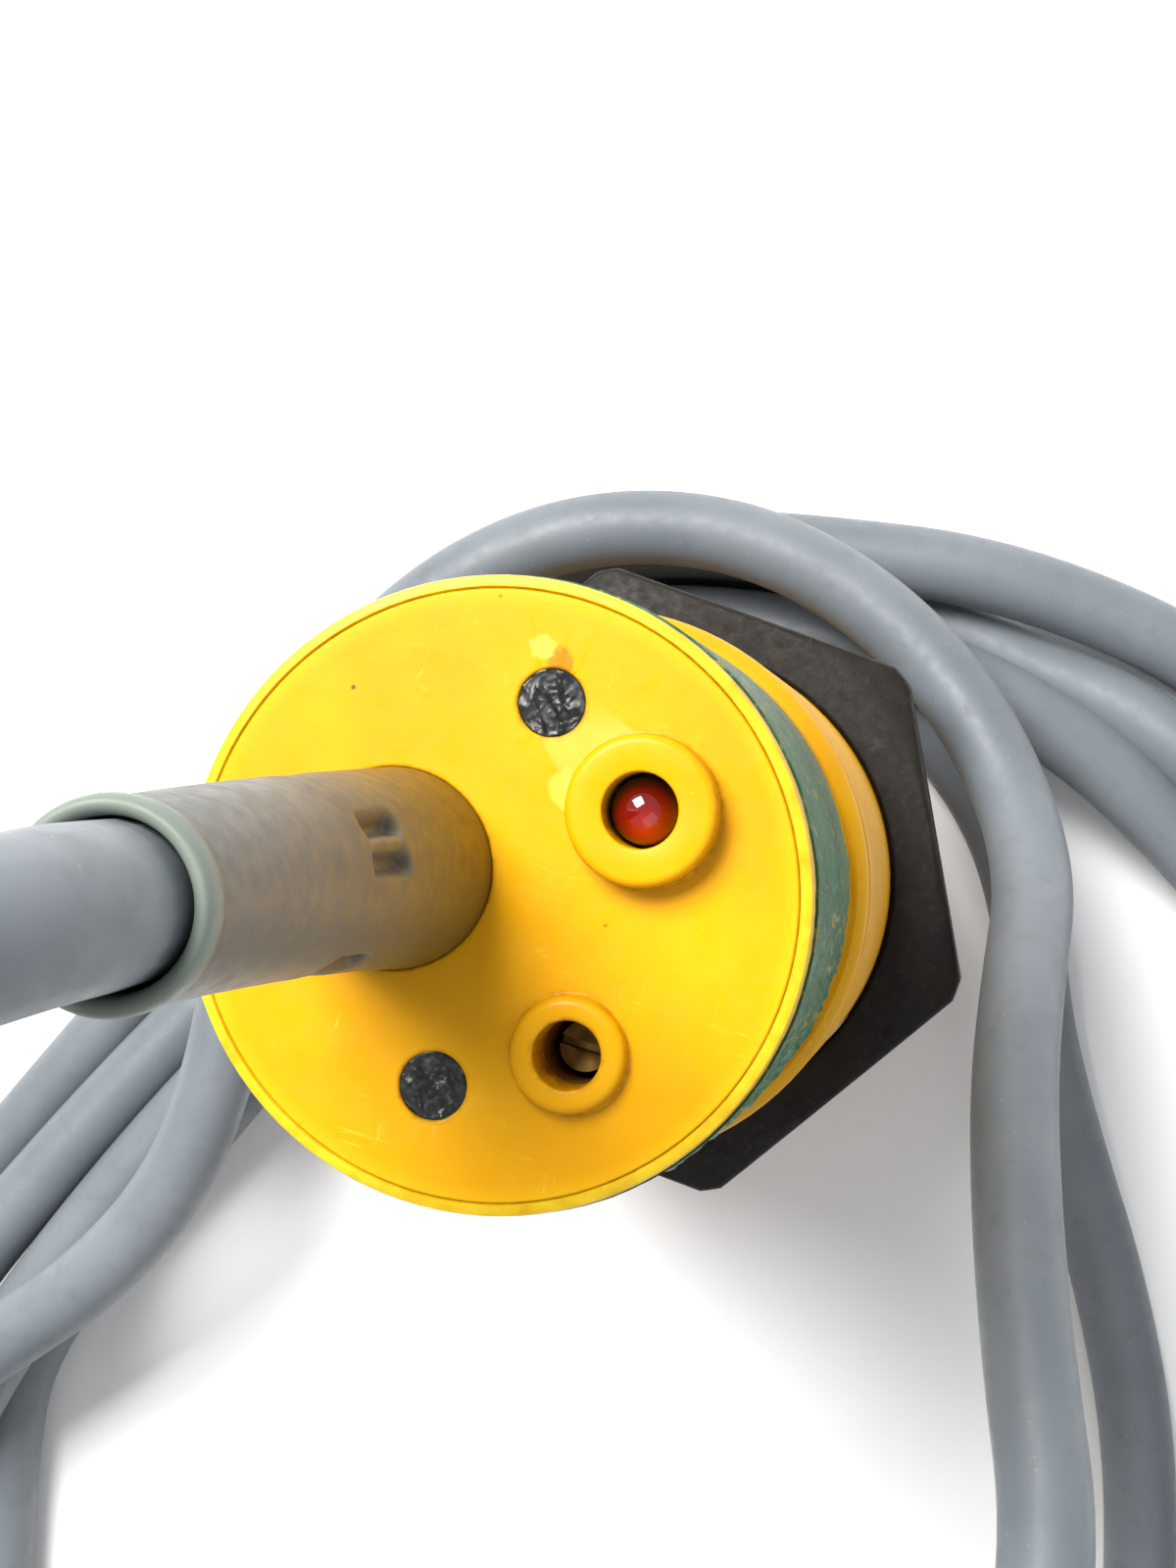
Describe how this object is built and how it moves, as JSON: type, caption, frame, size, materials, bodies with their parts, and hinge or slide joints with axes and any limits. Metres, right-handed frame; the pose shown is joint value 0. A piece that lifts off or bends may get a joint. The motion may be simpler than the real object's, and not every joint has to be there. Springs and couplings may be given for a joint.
{
  "type": "capacitive proximity switch",
  "caption": "Threaded round plastic proximity switch with rear indicator lamp, sensitivity trimmer, moulded strain relief, grey cable coil and hex lock nut.",
  "frame": {"origin": "centre of the sensing face, on the surface that the switch stands on", "axes": "+Z along the tube from the sensing face to the cable, +X from the cable exit towards the side with the lamp and the trimmer"},
  "size_m": [0.1304, 0.1459, 0.1448],
  "materials": {
    "yellow_housing": "satin moulded PBT",
    "green_film": "worn printed film",
    "grey_relief": "soft moulded elastomer",
    "plated_clip": "plated",
    "red_lens": "clear tinted epoxy",
    "tinned_wire": "tinned",
    "copper_foil": "bare copper",
    "board_laminate": "solder mask",
    "chip_moulding": "moulded epoxy",
    "chip_ceramic": "fired ceramic",
    "tantalum_moulding": "moulded epoxy",
    "blue_trimmer": "moulded",
    "brass_screw": "tarnished",
    "well_rubber": "moulded",
    "black_resin": "cast, wrinkled",
    "grey_jacket": "matte PVC jacket",
    "brown_insulation": "extruded",
    "blue_insulation": "extruded",
    "black_insulation": "extruded",
    "black_nylon": "moulded nylon"
  },
  "bodies": {
    "housing": {"cable": "grey_jacket", "cable_clamp": "plated_clip", "cable_coil": "grey_jacket", "cable_inner_run": "grey_jacket", "cable_tail": "grey_jacket", "chip_capacitors": "chip_ceramic", "chip_resistors": "chip_moulding", "circuit_board": "board_laminate", "control_chip": "chip_moulding", "core_black": "black_insulation", "core_blue": "blue_insulation", "core_brown": "brown_insulation", "electrode_board": "board_laminate", "electrode_pins": "tinned_wire", "guard_ring": "copper_foil", "identification_band": "green_film", "inner_cores": "brown_insulation", "lamp": "red_lens", "lamp_leads": "tinned_wire", "output_transistor": "chip_moulding", "polarity_diode": "chip_moulding", "potting_resin": "black_resin", "rear_cap": "yellow_housing", "sensing_electrode": "copper_foil", "sensing_face_cap": "yellow_housing", "shield_sleeve": "copper_foil", "strain_relief": "grey_relief", "surge_suppressor": "chip_moulding", "tank_capacitor": "tantalum_moulding", "threaded_barrel": "yellow_housing", "trimmer_body": "blue_trimmer", "trimmer_well": "well_rubber", "wire_ferrules": "tinned_wire"},
    "trimmer_screw": {"trimmer_screw": "brass_screw"},
    "lock_washer": {"lock_washer": "black_nylon"},
    "lock_nut": {"lock_nut": "black_nylon"}
  },
  "joints": [
    {"name": "trimmer_turn", "type": "hinge", "parent": "housing", "child": "trimmer_screw", "pos_m": [0.00535, -0.0055, 0.07], "axis": [0, 0, 1], "range_deg": [-135, 135]},
    {"name": "washer_slide", "type": "slide", "parent": "housing", "child": "lock_washer", "axis": [0, 0, 1], "range_m": [0, 0.0256]},
    {"name": "nut_turn", "type": "hinge", "parent": "lock_washer", "child": "lock_nut", "pos_m": [0, 0, 0.025], "axis": [0, 0, 1], "range_deg": [0, 6120]}
  ],
  "couplings": [
    {"joint": "washer_slide", "follows": "nut_turn", "m_per_rad": 0.00023873}
  ]
}
